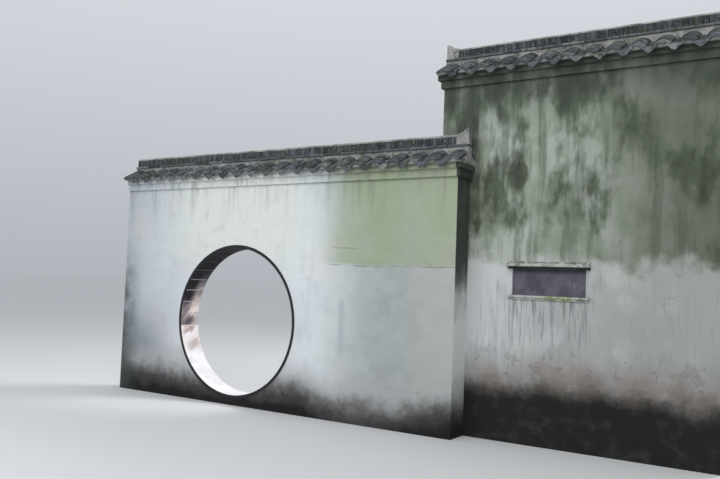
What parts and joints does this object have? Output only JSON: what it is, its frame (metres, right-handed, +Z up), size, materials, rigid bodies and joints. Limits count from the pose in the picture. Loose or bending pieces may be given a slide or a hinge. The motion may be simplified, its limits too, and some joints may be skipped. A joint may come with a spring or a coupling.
{
  "type": "moon gate in a garden wall",
  "caption": "Round doorway lined with grey bricks in a white plastered garden wall with a tiled coping, lapped by a taller weathered wall with a bare tablet.",
  "frame": {"origin": "on the ground, below the middle of the gate and half-way through the gate wall", "axes": "+X along the wall to the right as seen from the front, +Y through the wall from front to back, +Z up"},
  "size_m": [7.94, 1.0362, 4.519],
  "materials": {
    "white_plaster": "matt",
    "aged_plaster": "matt",
    "moulding_plaster": "matt",
    "ring_brick": "matt",
    "tablet_stone": "matt",
    "coping_mortar": "matt",
    "grey_tile": "matt"
  },
  "bodies": {
    "root": {"gate_wall_left": "white_plaster", "gate_wall_right": "white_plaster", "gate_surround_upper_left": "white_plaster", "gate_surround_upper_right": "white_plaster", "gate_surround_lower_left": "white_plaster", "gate_surround_lower_right": "white_plaster", "ring_bricks_upper_left": "ring_brick", "ring_bricks_upper_right": "ring_brick", "ring_bricks_lower_left": "ring_brick", "ring_bricks_lower_right": "ring_brick", "tall_wall": "aged_plaster", "tablet": "tablet_stone", "tablet_hood": "moulding_plaster", "tablet_sill": "moulding_plaster", "gate_wall_lower_corbel": "white_plaster", "gate_wall_upper_corbel": "white_plaster", "gate_wall_coping_core": "coping_mortar", "gate_wall_pan_tiles_front": "grey_tile", "gate_wall_cover_tiles_front": "grey_tile", "gate_wall_pan_tiles_back": "grey_tile", "gate_wall_cover_tiles_back": "grey_tile", "gate_wall_ridge_bed": "coping_mortar", "gate_wall_ridge_slab": "grey_tile", "gate_wall_ridge_tiles": "grey_tile", "gate_wall_ridge_cap": "coping_mortar", "gate_wall_ridge_end": "grey_tile", "tall_wall_lower_corbel": "aged_plaster", "tall_wall_upper_corbel": "aged_plaster", "tall_wall_coping_core": "coping_mortar", "tall_wall_pan_tiles_front": "grey_tile", "tall_wall_cover_tiles_front": "grey_tile", "tall_wall_pan_tiles_back": "grey_tile", "tall_wall_cover_tiles_back": "grey_tile", "tall_wall_ridge_bed": "coping_mortar", "tall_wall_ridge_slab": "grey_tile", "tall_wall_ridge_tiles": "grey_tile", "tall_wall_ridge_cap": "coping_mortar", "tall_wall_ridge_end": "grey_tile"}
  },
  "joints": []
}
